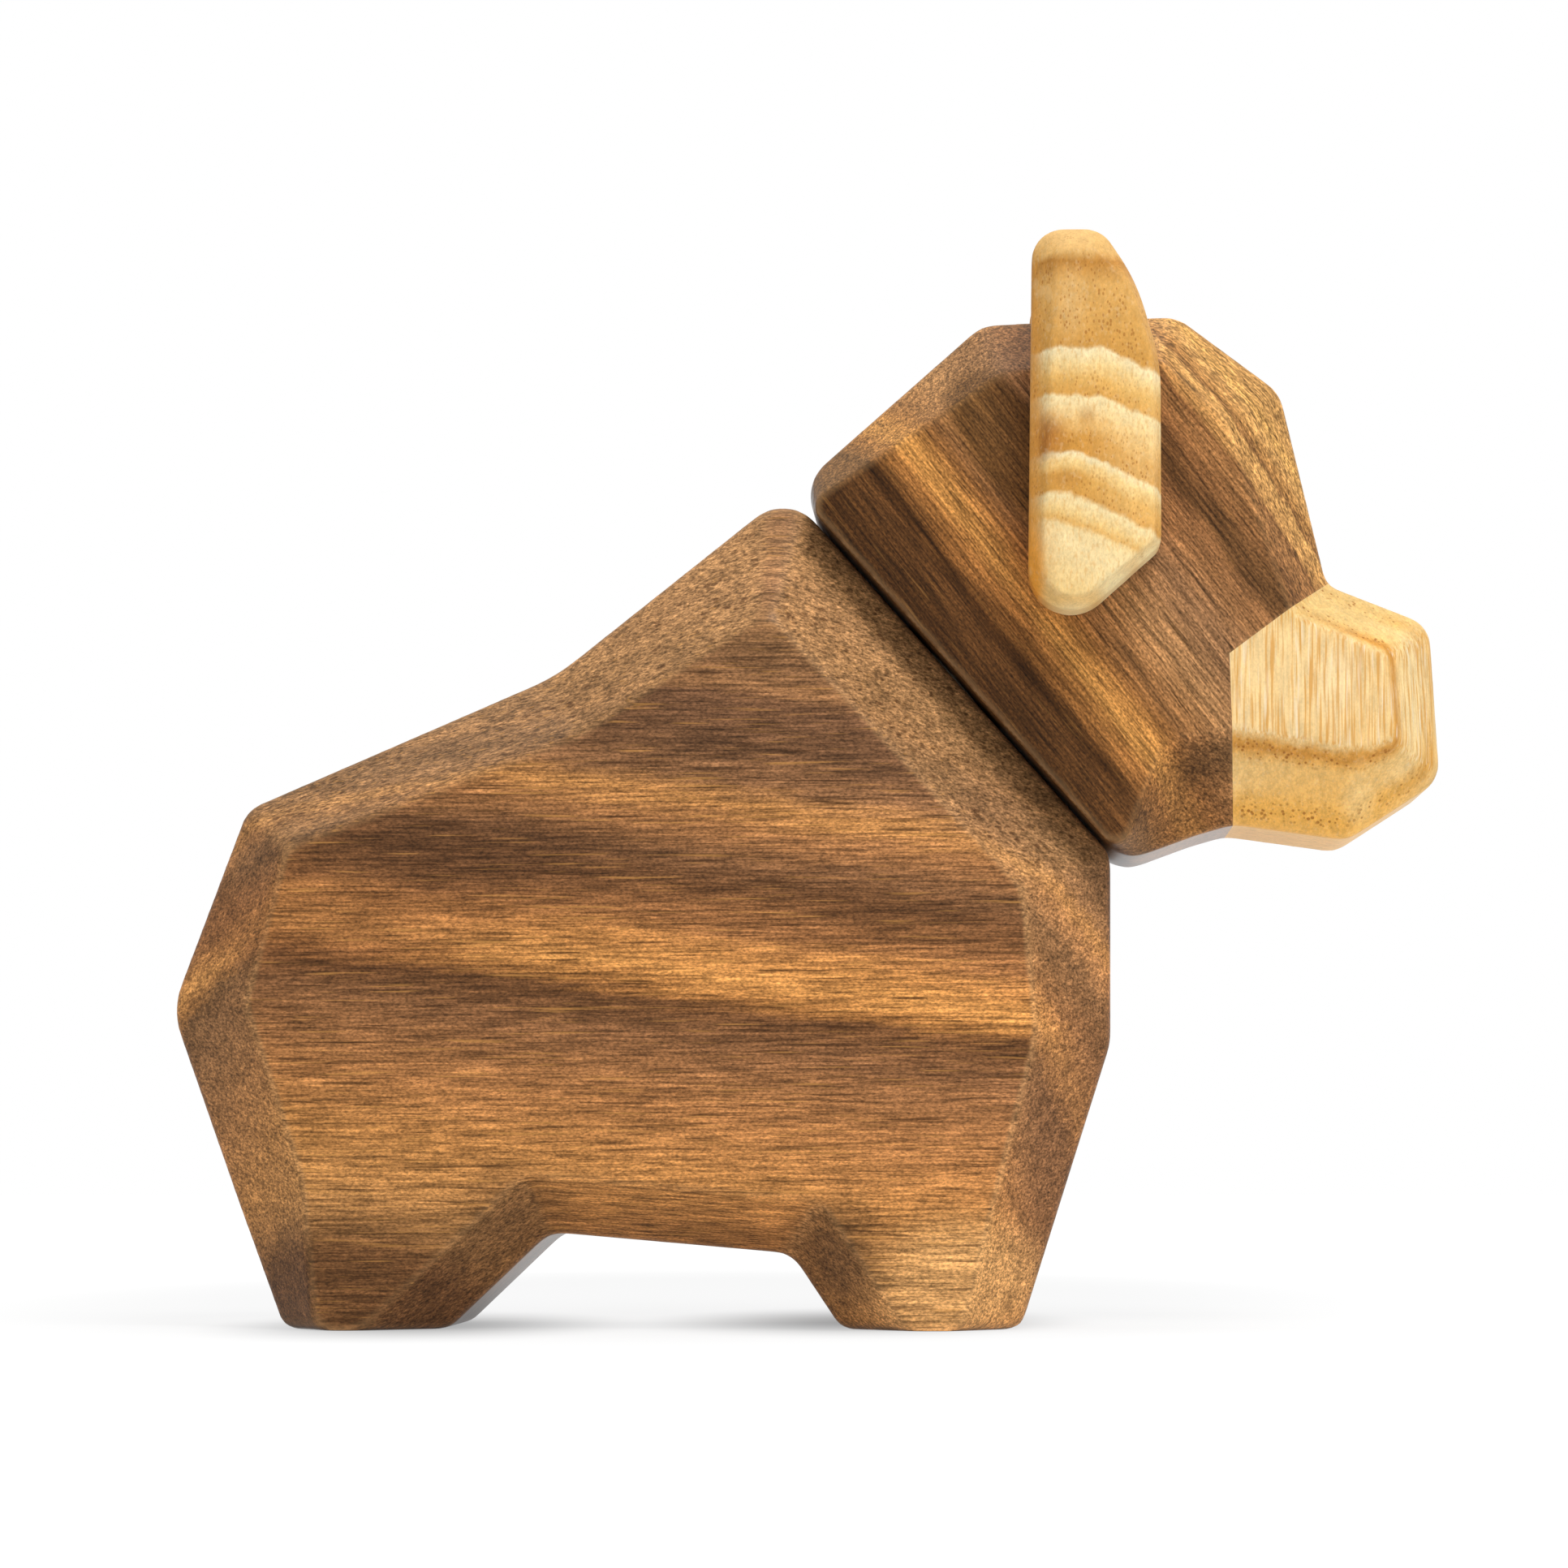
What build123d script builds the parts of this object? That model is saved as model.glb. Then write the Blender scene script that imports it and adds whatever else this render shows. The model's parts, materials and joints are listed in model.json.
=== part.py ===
from build123d import *
from collections import namedtuple
from math import cos, radians, sin
import os

# A standing cow figurine of hardwood blocks with bevelled edges. A pale muzzle is glued into
# the head, and disc magnets hold the head to the torso and the horns to the head.
# Millimetres. +X points from the rump to the muzzle, +Z up, and Y runs across the figurine.
# The origin is on the floor, under the middle of the figurine.

# Torso: thickness across, and the band round its edge between the bevels of the two sides
torso_thickness = 42.0
torso_rim = 26.0

# Torso outline, seen from the side
rear_heel_x = -54.2
rear_foot_length = 17.1
leg_gap = 40.8
front_foot_length = 18.5
hock_back = 4.9  # how far the hock stands behind the rear heel
hock_height = 13.2
rump_back = 12.0  # how far the rump stands behind the rear heel
rump_height = 33.1
croup_back = 4.2  # how far the top of the rump stands behind the rear heel
croup_height = 54.0
dip_ahead = 28.0  # how far the dip in the back lies ahead of the rear heel
dip_height = 67.9
brisket_front = 9.4  # how far the brisket stands ahead of the front toe
brisket_height = 29.6
rear_arch_run = 10.5  # how far each end of the arch between the legs leans in
rear_arch_rise = 10.0
front_arch_run = 5.2
front_arch_rise = 7.8

# Neck joint: its centre ahead of the rear heel and above the floor, the tilt of its normal
# above the floor, the length of the torso's neck face, and the gap to the head
neck_ahead = 69.1
neck_height = 68.2
neck_tilt = 41.4
neck_length = 50.7
neck_gap = 0.3

# Widths of the torso's bevels at the corners of its outline
heel_bevel = 4.3
hock_bevel = 8.0
rump_bevel = 8.5
croup_bevel = 6.1
dip_bevel = 7.5
withers_bevel = 10.5
throat_bevel = 9.5
brisket_bevel = 7.6
toe_bevel = 5.8
arch_bevel = 5.6

# Corner radii of the torso's outline
foot_radius = 1.8
torso_radius = 3.0
rump_radius = 7.0
dip_radius = 20.0
withers_radius = 4.5

# Head and muzzle, cut from one glued blank: thickness across, and the band round its edge
head_thickness = 38.0
head_rim = 24.0

# Outline of that blank: how far its corners stand out from the torso's neck face. Along the
# neck face, the back of the head and the chin are given from the ends of that face, the crown
# and brow from the back of the head, and the muzzle and jaw from the chin.
head_back_setback = 0.3
head_back_length = 26.8
crown_front_out = 42.6
crown_front_drop = 12.9
brow_out = 45.3
brow_drop = 26.0
chin_overhang = 1.4
nose_out = 35.5
nose_rise = 7.5
muzzle_top_out = 40.7
muzzle_top_drop = 2.7
muzzle_low_out = 30.7
muzzle_low_drop = 15.5
muzzle_bottom_out = 19.4
muzzle_bottom_drop = 13.8
throat_seam_out = 11.6
throat_seam_drop = 4.7
jaw_out = 8.0
jaw_drop = 3.0
inner_seam_out = 22.6  # where the two seam planes of the muzzle meet inside the head
inner_seam_rise = 8.6

# Widths of the head's bevels at the corners of its outline
head_back_bevel = 2.8
crown_back_bevel = 6.3
crown_front_bevel = 5.0
brow_bevel = 6.7
nose_bevel = 4.9
muzzle_top_bevel = 5.3
muzzle_low_bevel = 5.0
muzzle_bottom_bevel = 9.0
throat_seam_bevel = 9.5
jaw_bevel = 10.0
chin_bevel = 0.6

# Corner radii of the head's outline
head_back_radius = 4.6
crown_radius = 4.0
nose_radius = 2.0
muzzle_radius = 3.2
jaw_radius = 4.0

# Horns: thickness, the straight part of their edge, the gap to the head, and the place of
# their magnets on the head, out from the neck centre and along the neck face
horn_thickness = 9.0
horn_rim = 6.6
horn_gap = 0.2
horn_pivot_out = 25.4
horn_pivot_height = 6.1

# Horn outline, from the centre of its magnet
horn_back = 6.9
horn_front = 6.8
horn_top_height = 23.0
horn_top_back = 6.3
horn_top_front = 0.8
horn_crest_front = 4.3
horn_crest_height = 17.7
horn_shoulder_height = 9.3
horn_heel_drop = 9.5
horn_tip_drop = 21.7

# Widths of the horn's bevels and its corner radii
horn_tip_bevel = 1.2
horn_back_bevel = 2.6
horn_top_bevel = 2.2
horn_front_bevel = 0.8
horn_top_radius = 3.2
horn_front_radius = 20.0
horn_heel_radius = 1.6
horn_tip_radius = 4.4

# Corner radius of the flat side faces, inside the bevels
face_radius = 1.5

# Disc magnets, and the clearance of their pockets all round and below
neck_magnet_diameter = 15.0
neck_magnet_thickness = 4.0
horn_magnet_diameter = 8.0
horn_magnet_thickness = 3.0
magnet_chamfer = 0.3
magnet_clearance = 0.08

# A corner of a block's outline: its place, the bevel's width there, the outline's radius, whether
# the side that starts there is flat, with no bevel, and the radius on the side face
Corner = namedtuple("Corner", "x y bevel radius flat face_radius", defaults=(False, face_radius))


def crossing(first, second):
    """Where two lines cross, each given by two of its points."""
    along_first = first[1] - first[0]
    along_second = second[1] - second[0]
    reach = (second[0] - first[0]).cross(along_second).Z / along_first.cross(along_second).Z
    return first[0] + along_first * reach


def side_face(corners):
    """Corners of the flat side face: each side of a clockwise outline, moved in by its bevel."""
    creases = []
    for start, end in zip(corners, corners[1:] + corners[:1]):
        start_point = Vector(start.x, start.y)
        end_point = Vector(end.x, end.y)
        inward = (end_point - start_point).normalized().rotate(Axis.Z, -90)
        start_width = 0 if start.flat else start.bevel
        end_width = 0 if start.flat else end.bevel
        creases.append((start_point + inward * start_width, end_point + inward * end_width))
    face = []
    for index, corner in enumerate(corners):
        point = crossing(creases[index - 1], creases[index])
        face.append(Corner(point.X, point.Y, 0, min(corner.face_radius, corner.radius)))
    return face


def bevelled_block(plane, sections):
    """A block through outlines that lie at the given offsets from a plane."""
    with BuildPart() as block:
        for section_offset, corners in sections:
            with BuildSketch(plane.offset(section_offset)):
                with BuildLine():
                    points = [(corner.x, corner.y) for corner in corners]
                    radii = [corner.radius for corner in corners]
                    FilletPolyline(*points, radius=radii, close=True)
                make_face()
        loft(ruled=True)
    return block.part


def two_sided_block(plane, corners, thickness, rim):
    """A block with the same bevels and flat face on both of its sides."""
    face = side_face(corners)
    sections = [(-thickness / 2, face), (-rim / 2, corners), (rim / 2, corners), (thickness / 2, face)]
    return bevelled_block(plane, sections)


def disc_magnet(pole_plane, diameter, thickness):
    """A disc that lies below its pole plane, with both rims chamfered."""
    with BuildPart() as disc:
        with BuildSketch(pole_plane):
            Circle(diameter / 2)
        extrude(amount=-thickness)
        chamfer(disc.edges().filter_by(GeomType.CIRCLE), magnet_chamfer)
    return disc.part


# Neck joint. The two neck magnets stand proud of the wood and meet halfway across the gap.
tilt = radians(neck_tilt)
neck_normal = Vector(cos(tilt), 0, sin(tilt))
neck_up = Vector(-sin(tilt), 0, cos(tilt))
neck_centre = Vector(rear_heel_x + neck_ahead, 0, neck_height)
torso_neck = Plane(neck_centre, x_dir=(0, 1, 0), z_dir=neck_normal)
head_neck = Plane(neck_centre + neck_normal * neck_gap, x_dir=(0, 1, 0), z_dir=-neck_normal)
neck_stand = neck_gap / 2
neck_pocket_radius = neck_magnet_diameter / 2 + magnet_clearance
neck_pocket_depth = neck_magnet_thickness - neck_stand + magnet_clearance

# Torso, clockwise from the rear heel
withers = neck_centre + neck_up * neck_length / 2
throat = neck_centre - neck_up * neck_length / 2
rear_toe_x = rear_heel_x + rear_foot_length
front_heel_x = rear_toe_x + leg_gap
front_toe_x = front_heel_x + front_foot_length
torso_corners = [
    Corner(rear_heel_x, 0, heel_bevel, foot_radius),
    Corner(rear_heel_x - hock_back, hock_height, hock_bevel, 0),
    Corner(rear_heel_x - rump_back, rump_height, rump_bevel, rump_radius),
    Corner(rear_heel_x - croup_back, croup_height, croup_bevel, torso_radius),
    Corner(rear_heel_x + dip_ahead, dip_height, dip_bevel, dip_radius),
    Corner(withers.X, withers.Z, withers_bevel, withers_radius),
    Corner(throat.X, throat.Z, throat_bevel, torso_radius),
    Corner(front_toe_x + brisket_front, brisket_height, brisket_bevel, torso_radius),
    Corner(front_toe_x, 0, toe_bevel, foot_radius, flat=True),
    Corner(front_heel_x, 0, arch_bevel, foot_radius),
    Corner(front_heel_x - front_arch_run, front_arch_rise, arch_bevel, torso_radius),
    Corner(rear_toe_x + rear_arch_run, rear_arch_rise, arch_bevel, torso_radius),
    Corner(rear_toe_x, 0, arch_bevel, foot_radius, flat=True),
]
torso_blank = two_sided_block(Plane.XZ, torso_corners, torso_thickness, torso_rim)
with BuildPart() as torso:
    add(torso_blank)
    with Locations(torso_neck):
        Hole(neck_pocket_radius, depth=neck_pocket_depth)
torso.part.label = "torso"

# Blank of the head and muzzle, clockwise from the chin, in distances out from the neck centre
# and along the neck face
head_side = Plane(neck_centre, x_dir=neck_normal, z_dir=(0, -1, 0))
back_height = neck_length / 2 - head_back_setback
chin_height = -neck_length / 2 - chin_overhang
nose = Vector(nose_out, chin_height + nose_rise)
muzzle_low = Vector(muzzle_low_out, chin_height - muzzle_low_drop)
throat_seam = Vector(throat_seam_out, chin_height - throat_seam_drop)
inner_seam = Vector(inner_seam_out, chin_height + inner_seam_rise)
head_corners = [
    Corner(neck_gap, chin_height, chin_bevel, jaw_radius, flat=True),
    Corner(neck_gap, back_height, head_back_bevel, head_back_radius),
    Corner(head_back_length, back_height, crown_back_bevel, crown_radius),
    Corner(crown_front_out, back_height - crown_front_drop, crown_front_bevel, crown_radius),
    Corner(brow_out, back_height - brow_drop, brow_bevel, crown_radius),
    Corner(nose.X, nose.Y, nose_bevel, nose_radius),
    Corner(muzzle_top_out, chin_height - muzzle_top_drop, muzzle_top_bevel, muzzle_radius),
    Corner(muzzle_low.X, muzzle_low.Y, muzzle_low_bevel, muzzle_radius),
    Corner(muzzle_bottom_out, chin_height - muzzle_bottom_drop, muzzle_bottom_bevel, muzzle_radius),
    Corner(throat_seam.X, throat_seam.Y, throat_seam_bevel, jaw_radius),
    Corner(jaw_out, chin_height - jaw_drop, jaw_bevel, jaw_radius),
]
head_blank = two_sided_block(head_side, head_corners, head_thickness, head_rim)

# The muzzle is what lies ahead of the V-shaped seam, and a wedge from the seam takes it all in
nose_way = (nose - inner_seam).normalized()
throat_way = (throat_seam - inner_seam).normalized()
wedge_length = 2 * (muzzle_low - inner_seam).length
with BuildPart() as seam_wedge:
    with BuildSketch(head_side):
        with BuildLine():
            Polyline(
                inner_seam,
                inner_seam + nose_way * wedge_length,
                inner_seam + (nose_way + throat_way) * wedge_length,
                inner_seam + throat_way * wedge_length,
                close=True,
            )
        make_face()
    extrude(amount=head_thickness, both=True)
with BuildPart() as muzzle:
    add(head_blank)
    add(seam_wedge.part, mode=Mode.INTERSECT)
muzzle.part.label = "muzzle"

# Head, with a pocket for its neck magnet and one in each cheek for a horn magnet. The horn
# magnets meet halfway across the gap, as the neck magnets do.
horn_pivot = head_side.from_local_coords((horn_pivot_out, horn_pivot_height, 0))
horn_stand = horn_gap / 2
horn_pocket_radius = horn_magnet_diameter / 2 + magnet_clearance
horn_pocket_depth = horn_magnet_thickness - horn_stand + magnet_clearance
cheek_y = head_thickness / 2
horn_y = cheek_y + horn_gap
sides = {"right": -1, "left": 1}
cheeks = {
    name: Plane((horn_pivot.X, side * cheek_y, horn_pivot.Z), x_dir=(1, 0, 0), z_dir=(0, side, 0))
    for name, side in sides.items()
}
with BuildPart() as head:
    add(head_blank)
    add(seam_wedge.part, mode=Mode.SUBTRACT)
    with Locations(head_neck):
        Hole(neck_pocket_radius, depth=neck_pocket_depth)
    with Locations(*cheeks.values()):
        Hole(horn_pocket_radius, depth=horn_pocket_depth)
head.part.label = "head"

# Neck magnets
torso_magnet = disc_magnet(torso_neck.offset(neck_stand), neck_magnet_diameter, neck_magnet_thickness)
torso_magnet.label = "torso_neck_magnet"
head_magnet = disc_magnet(head_neck.offset(neck_stand), neck_magnet_diameter, neck_magnet_thickness)
head_magnet.label = "head_neck_magnet"

pieces = [torso.part, head.part, muzzle.part, torso_magnet, head_magnet]

# Horns and their magnets, clockwise from the tip, which is rounded about one centre on the edge
# and on the face
horn_side = Plane((horn_pivot.X, 0, horn_pivot.Z), x_dir=(1, 0, 0), z_dir=(0, -1, 0))
horn_corners = [
    Corner(
        -horn_back,
        -horn_tip_drop,
        horn_tip_bevel,
        horn_tip_radius,
        face_radius=horn_tip_radius - horn_tip_bevel,
    ),
    Corner(-horn_top_back, horn_top_height, horn_back_bevel, horn_top_radius),
    Corner(horn_top_front, horn_top_height, horn_top_bevel, horn_top_radius),
    Corner(horn_crest_front, horn_crest_height, horn_front_bevel, horn_front_radius),
    Corner(horn_front, horn_shoulder_height, horn_front_bevel, horn_front_radius),
    Corner(horn_front, -horn_heel_drop, horn_front_bevel, horn_heel_radius),
]
horn_sections = [
    (horn_y, horn_corners),
    (horn_y + horn_rim, horn_corners),
    (horn_y + horn_thickness, side_face(horn_corners)),
]
for name, side in sides.items():
    horn_blank = bevelled_block(horn_side, [(-side * y, corners) for y, corners in horn_sections])
    horn_foot = Plane((horn_pivot.X, side * horn_y, horn_pivot.Z), x_dir=(1, 0, 0), z_dir=(0, -side, 0))
    with BuildPart() as horn:
        add(horn_blank)
        with Locations(horn_foot):
            Hole(horn_pocket_radius, depth=horn_pocket_depth)
    horn.part.label = f"{name}_horn"
    cheek_magnet = disc_magnet(cheeks[name].offset(horn_stand), horn_magnet_diameter, horn_magnet_thickness)
    cheek_magnet.label = f"{name}_cheek_magnet"
    horn_magnet = disc_magnet(horn_foot.offset(horn_stand), horn_magnet_diameter, horn_magnet_thickness)
    horn_magnet.label = f"{name}_horn_magnet"
    pieces += [horn.part, cheek_magnet, horn_magnet]

os.makedirs("parts", exist_ok=True)
for piece in pieces:
    export_step(piece, f"parts/{piece.label}.step")
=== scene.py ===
import json
import math
import bmesh
import bpy
from mathutils import Matrix, Vector


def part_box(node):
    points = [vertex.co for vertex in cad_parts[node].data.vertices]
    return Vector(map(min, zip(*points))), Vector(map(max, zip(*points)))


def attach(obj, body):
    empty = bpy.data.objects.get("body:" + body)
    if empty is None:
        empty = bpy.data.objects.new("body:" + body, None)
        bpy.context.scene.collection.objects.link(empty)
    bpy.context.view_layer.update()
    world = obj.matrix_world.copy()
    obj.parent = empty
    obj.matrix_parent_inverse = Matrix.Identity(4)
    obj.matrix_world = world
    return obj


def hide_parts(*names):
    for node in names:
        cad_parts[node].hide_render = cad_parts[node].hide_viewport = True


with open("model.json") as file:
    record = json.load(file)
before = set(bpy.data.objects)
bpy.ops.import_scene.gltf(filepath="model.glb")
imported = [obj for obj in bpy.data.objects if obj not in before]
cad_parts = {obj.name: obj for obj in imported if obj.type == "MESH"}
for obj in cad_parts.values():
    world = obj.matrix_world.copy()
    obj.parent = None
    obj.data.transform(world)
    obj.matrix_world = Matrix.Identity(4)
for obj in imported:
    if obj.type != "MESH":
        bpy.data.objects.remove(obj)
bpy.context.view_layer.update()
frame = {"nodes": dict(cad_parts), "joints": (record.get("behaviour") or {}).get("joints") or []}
mm = 0.001
joints = {joint["name"]: joint for joint in frame["joints"]}

# camera at the photo's low angle, looking slightly up
shot = {
    "place": (0.0200458, -0.620, 0.0164887),
    "target": (-0.002735, 0.0, 0.0573906),
    "lens": 134.263,
    "sensor": 36.0,
}
cameraData = bpy.data.cameras.new("photoCamera")
cameraData.lens = shot["lens"]
cameraData.sensor_width = shot["sensor"]
camera = bpy.data.objects.new("photoCamera", cameraData)
camera.location = shot["place"]
aim = Vector(shot["target"]) - Vector(shot["place"])
camera.rotation_euler = aim.to_track_quat("-Z", "Y").to_euler()
bpy.context.scene.collection.objects.link(camera)
bpy.context.scene.camera = camera
bpy.context.scene.view_settings.view_transform = "Standard"
print("camera placed")


def toLinear(hexTone):
    shares = [int(hexTone[i:i + 2], 16) / 255 for i in (1, 3, 5)]
    return [s / 12.92 if s <= 0.04045 else ((s + 0.055) / 1.055) ** 2.4 for s in shares] + [1.0]


def addNode(tree, kind, inputs=None, out=0, stops=(), **settings):
    node = tree.nodes.new("ShaderNode" + kind)
    for setting, value in settings.items():
        setattr(node, setting, value)
    for socket, value in (inputs or {}).items():
        if isinstance(value, bpy.types.NodeSocket):
            tree.links.new(value, node.inputs[socket])
        else:
            node.inputs[socket].default_value = value
    if stops:
        ramp = node.color_ramp.elements
        ramp.remove(ramp[1])
        ramp[0].position, ramp[0].color = stops[0]
        for position, tone in stops[1:]:
            ramp.new(position).color = tone
    return node.outputs[out] if len(node.outputs) else node


def startMaterial(name):
    material = bpy.data.materials.new(name)
    material.use_nodes = True
    material.node_tree.nodes.clear()
    return material, material.node_tree


# the piece's own coordinates, in millimetres
def inMillimetres(tree):
    place = addNode(tree, "TexCoord", out="Object")
    return addNode(tree, "VectorMath", {0: place, "Scale": 1 / mm}, operation="SCALE")


# a soft round patch: one value all round it, growing to another at its middle
def softPatch(tree, spot, turn, patch, outside, inside):
    around = addNode(tree, "Mapping", {"Vector": spot, "Location": patch["middle"], "Rotation": turn,
                                       "Scale": patch["reach"]}, vector_type="TEXTURE")
    nearness = addNode(tree, "TexGradient", {"Vector": around}, "Fac", gradient_type="SPHERICAL")
    return addNode(tree, "MapRange", {"Value": nearness, "From Max": patch["soft"], "To Min": outside,
                                      "To Max": inside}, interpolation_type="SMOOTHSTEP")


# noise stretched along the fibres, its size in millimetres along and across them
def grainNoise(tree, spot, turn, size, offset=(0, 0, 0), detail=3.0):
    grained = addNode(tree, "Mapping", {"Vector": spot, "Location": offset, "Rotation": turn, "Scale": size},
                      vector_type="TEXTURE")
    return addNode(tree, "TexNoise", {"Vector": grained, "Scale": 1.0, "Detail": detail, "Roughness": 0.55})


# 1 between the two middle edges, falling to 0 at the outer ones
def between(tree, value, edges):
    rising = addNode(tree, "MapRange", {"Value": value, "From Min": edges[0], "From Max": edges[1]})
    falling = addNode(tree, "MapRange", {"Value": value, "From Min": edges[2], "From Max": edges[3],
                                         "To Min": 1.0, "To Max": 0.0})
    return addNode(tree, "Math", {0: rising, 1: falling}, operation="MULTIPLY")


# what all the oiled wood has in common
oiled = {
    "ior": 1.45,
    "specular": 0.05,
    "coatRoughness": 0.3,
    "filmAngle": (0.85, 0.96),  # Layer Weight's facing, where the film of oil begins to shine and shines most
    "filmLeast": 0.12,
    "noiseSpan": (0.3, 0.7),  # most of a noise's values lie between these
    "fibreCut": (0.3, 0.6),  # fibres fade as a face turns across them
    "fibreLeft": 0.2,
    "vesselRim": 0.5,  # the soft share of a vessel's width
    "sandedEdge": (0.502, 0.512),  # pointiness, which is 0.5 on a flat face
    # pointiness where edges turn paler: rubbed wear and painted highlight
    "wearAndHighlightEdge": (0.51, 0.58),
    "grainHeight": (0.2, 0.8),
    "grainDepth": 0.05,  # mm
}


# wood rubbed with oil: growth layers give the broad bands, fibres the streaks and fine dark
# dashes, and cut vessels the dots on bevels that run across the grain
def woodMaterial(name, wood):
    material, tree = startMaterial(name)
    turn = [math.radians(angle) for angle in wood["grainTurn"]]
    spot = inMillimetres(tree)

    # growth layers, cupped like rings about a pith and swaying a little
    cup = wood["cup"]
    layer = addNode(tree, "VectorMath", {0: spot, 1: wood["layers"]}, "Value", operation="DOT_PRODUCT")
    across = addNode(tree, "VectorMath", {0: spot, 1: cup["along"]}, "Value", operation="DOT_PRODUCT")
    across = addNode(tree, "Math", {0: across, 1: cup["middle"]}, operation="SUBTRACT")
    across = addNode(tree, "Math", {0: across, 1: across, 2: cup["round"] ** 2}, operation="MULTIPLY_ADD")
    across = addNode(tree, "Math", {0: across}, operation="SQRT")
    layer = addNode(tree, "Math", {0: across, 1: cup["depth"], 2: layer}, operation="MULTIPLY_ADD")
    shift = cup["depth"] * math.hypot(cup["face"] - cup["middle"], cup["round"])
    for size, amount in wood["sway"]:
        wave = grainNoise(tree, spot, turn, size, detail=2.0)
        layer = addNode(tree, "Math", {0: wave, 1: amount, 2: layer}, operation="MULTIPLY_ADD")
        shift += amount / 2
    # a band may say how porous it is, from 0 to 1, which the colour ramp carries as its alpha
    first, last = wood["figure"][0][0], wood["figure"][-1][0]
    level = addNode(tree, "MapRange", {"Value": layer, "From Min": first + shift, "From Max": last + shift})
    bands = [((at - first) / (last - first), toLinear(tone)[:3] + (pores or [1.0]))
             for at, tone, *pores in wood["figure"]]
    colour = addNode(tree, "ValToRGB", {"Fac": level}, stops=bands)
    porous = colour.node.outputs["Alpha"]

    # where a face cuts across the grain, the cut fibres give it a tone of its own
    facing = addNode(tree, "TexCoord", out="Normal")
    cut = addNode(tree, "VectorMath", {0: facing, 1: wood["grain"]}, "Value", operation="DOT_PRODUCT")
    cut = addNode(tree, "Math", {0: cut}, operation="ABSOLUTE")
    ends = between(tree, cut, wood["endCut"])
    ends = addNode(tree, "Math", {0: ends, 1: wood["endShare"]}, operation="MULTIPLY")
    colour = addNode(tree, "Mix", {0: ends, 6: colour, 7: toLinear(wood["endTone"])}, 2, data_type="RGBA")

    # stains and pale places, and patches of painted shade where they are listed as such
    for patch in wood["patches"]:
        inside = softPatch(tree, spot, turn, patch, 0.0, patch["share"])
        colour = addNode(tree, "Mix", {0: inside, 6: colour, 7: toLinear(patch["tone"])}, 2, data_type="RGBA")

    # streaks and specks lighten and darken the bands, and the block grows paler along its length
    drift = wood["drift"]
    light = addNode(tree, "VectorMath", {0: spot, 1: drift["along"]}, "Value", operation="DOT_PRODUCT")
    light = addNode(tree, "MapRange", {"Value": light, "From Min": drift["from"], "From Max": drift["to"],
                                       "To Min": drift["dark"], "To Max": drift["pale"]})
    grainHeight = None
    least, most = oiled["noiseSpan"]
    for size, contrast in wood["streaks"]:
        streak = grainNoise(tree, spot, turn, size)
        change = addNode(tree, "MapRange", {"Value": streak, "From Min": least, "From Max": most,
                                            "To Min": 1 - contrast, "To Max": 1 + contrast})
        light = addNode(tree, "Math", {0: light, 1: change}, operation="MULTIPLY")
        grainHeight = grainHeight or streak
    colour = addNode(tree, "VectorMath", {0: colour, "Scale": light}, operation="SCALE")

    # single fibres: thin dashes where a stretched noise runs high, dark ones lie a little lower;
    # they fade on faces that cut across them
    least, most = oiled["fibreCut"]
    whole = addNode(tree, "MapRange", {"Value": cut, "From Min": least, "From Max": most,
                                       "To Min": 1.0, "To Max": oiled["fibreLeft"]})
    for fibre in wood["fibres"]:
        dash = grainNoise(tree, spot, turn, fibre["size"], fibre["offset"], detail=1.5)
        dash = addNode(tree, "MapRange", {"Value": dash, "From Min": fibre["from"], "From Max": fibre["to"],
                                          "To Max": fibre["share"]})
        dash = addNode(tree, "Math", {0: dash, 1: whole}, operation="MULTIPLY")
        colour = addNode(tree, "Mix", {0: dash, 6: colour, 7: toLinear(fibre["tone"])}, 2, data_type="RGBA")
        if fibre["sunk"]:
            grainHeight = addNode(tree, "Math", {0: grainHeight, 1: dash}, operation="SUBTRACT")

    # vessels: dots in loose crowds in the porous bands, seen on facets that cut the fibres aslant
    # and sanded away on the edges between the facets
    bulge = addNode(tree, "NewGeometry", out="Pointiness")
    least, most = oiled["sandedEdge"]
    sandedOff = addNode(tree, "MapRange", {"Value": bulge, "From Min": least, "From Max": most,
                                           "To Min": 1.0, "To Max": 0.0})
    dotted = between(tree, cut, wood["vesselCut"])
    dotted = addNode(tree, "Math", {0: dotted, 1: porous}, operation="MULTIPLY")
    dotted = addNode(tree, "Math", {0: dotted, 1: sandedOff}, operation="MULTIPLY")
    for vessel in wood["vessels"]:
        grained = addNode(tree, "Mapping", {"Vector": spot, "Rotation": turn, "Scale": vessel["spacing"]},
                          vector_type="TEXTURE")
        dot = addNode(tree, "TexVoronoi", {"Vector": grained, "Scale": 1.0})
        crowd = addNode(tree, "TexNoise", {"Vector": grained, "Scale": vessel["crowdScale"], "Detail": 1.0})
        dot = addNode(tree, "Math", {0: crowd, 1: vessel["crowding"], 2: dot}, operation="MULTIPLY_ADD")
        rim = vessel["size"] + vessel["crowding"] / 2
        core = rim - vessel["size"] * oiled["vesselRim"]
        dot = addNode(tree, "MapRange", {"Value": dot, "From Min": rim, "From Max": core,
                                         "To Max": vessel["share"]})
        dot = addNode(tree, "Math", {0: dot, 1: dotted}, operation="MULTIPLY")
        colour = addNode(tree, "Mix", {0: dot, 6: colour, 7: toLinear(vessel["tone"])}, 2, data_type="RGBA")
        grainHeight = addNode(tree, "Math", {0: grainHeight, 1: dot}, operation="SUBTRACT")

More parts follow.
